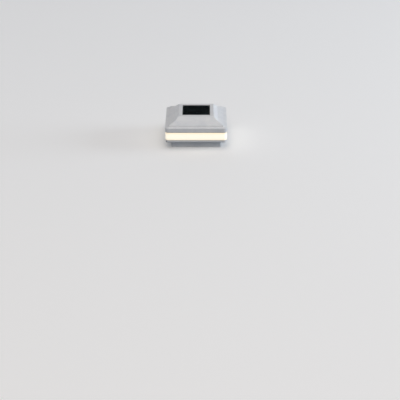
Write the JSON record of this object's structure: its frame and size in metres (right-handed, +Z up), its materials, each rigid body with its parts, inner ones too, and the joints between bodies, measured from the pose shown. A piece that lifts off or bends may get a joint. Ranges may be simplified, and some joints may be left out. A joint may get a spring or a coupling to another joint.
{
  "type": "deck post cap light",
  "caption": "Square solar light that caps a deck post, with a stepped roof, a top solar panel and a frosted lens band glowing on all four sides.",
  "frame": {"origin": "centre of the skirt's bottom rim", "axes": "+Z up through the middle of the roof, -Y towards the front, the four sides alike outside"},
  "size_m": [0.1156, 0.1156, 0.0569],
  "materials": {
    "white_asa": "injection-moulded white ASA, satin gloss",
    "frosted_lens": "frosted warm-white polycarbonate diffuser, lit from inside",
    "seal_rubber": "grey silicone seal",
    "foam_tape": "black closed-cell foam tape",
    "panel_backing": "black solder mask on glass-epoxy board",
    "silicon_cell": "dark blue-green polycrystalline silicon",
    "tinned_ribbon": "tin-plated copper ribbon",
    "clear_resin": "clear glossy encapsulating resin",
    "carrier_white": "white reflective polypropylene",
    "led_board": "white solder mask on aluminium-core board",
    "led_phosphor": "yellow phosphor in a white LED package",
    "lead_red": "red PVC insulated lead",
    "lead_black": "black PVC insulated lead",
    "circuit_board": "green solder mask on glass-epoxy board",
    "chip_black": "black moulded epoxy",
    "choke_winding": "enamelled copper winding on ferrite",
    "capacitor_sleeve": "dark blue sleeve over an aluminium can",
    "socket_nylon": "natural nylon",
    "zinc_steel": "zinc-plated steel",
    "stainless_steel": "stainless steel",
    "nickel_contact": "nickel-plated spring steel",
    "battery_wrap": "plain green shrink sleeve",
    "pin_brass": "tinned brass terminal",
    "knob_black": "black moulded nylon"
  },
  "bodies": {
    "housing": {"base_pan": "white_asa", "lower_gasket": "seal_rubber", "lens_ring": "frosted_lens", "upper_gasket": "seal_rubber", "top_cover": "white_asa", "panel_tape": "foam_tape", "panel_board": "panel_backing", "solar_cells": "silicon_cell", "cell_ribbons": "tinned_ribbon", "panel_resin": "clear_resin", "lead_grommet": "seal_rubber", "led_carrier": "carrier_white", "led_boards": "led_board", "leds": "led_phosphor", "led_jumpers": "lead_red", "control_board": "circuit_board", "charge_chip": "chip_black", "choke": "choke_winding", "capacitors": "capacitor_sleeve", "board_sockets": "socket_nylon", "board_screws": "zinc_steel", "battery_box": "carrier_white", "box_screws": "zinc_steel", "battery_cell": "nickel_contact", "battery_sleeve": "battery_wrap", "spring_contact": "nickel_contact", "plate_contact": "nickel_contact", "door_seal": "seal_rubber", "switch_body": "zinc_steel", "switch_terminals": "pin_brass", "switch_screws": "zinc_steel", "housing_screws": "stainless_steel", "panel_leads": "lead_red", "battery_leads": "lead_red", "switch_leads": "lead_black", "led_leads": "lead_black"},
    "door": {"battery_door": "white_asa"},
    "knob": {"switch_knob": "knob_black"}
  },
  "joints": [
    {"name": "door_hinge", "type": "hinge", "parent": "housing", "child": "door", "pos_m": [0, 0.0225, 0.0149], "axis": [1, 0, 0], "range_deg": [0, 100]},
    {"name": "switch_slide", "type": "slide", "parent": "housing", "child": "knob", "axis": [1, 0, 0], "range_m": [0, 0.003]}
  ]
}
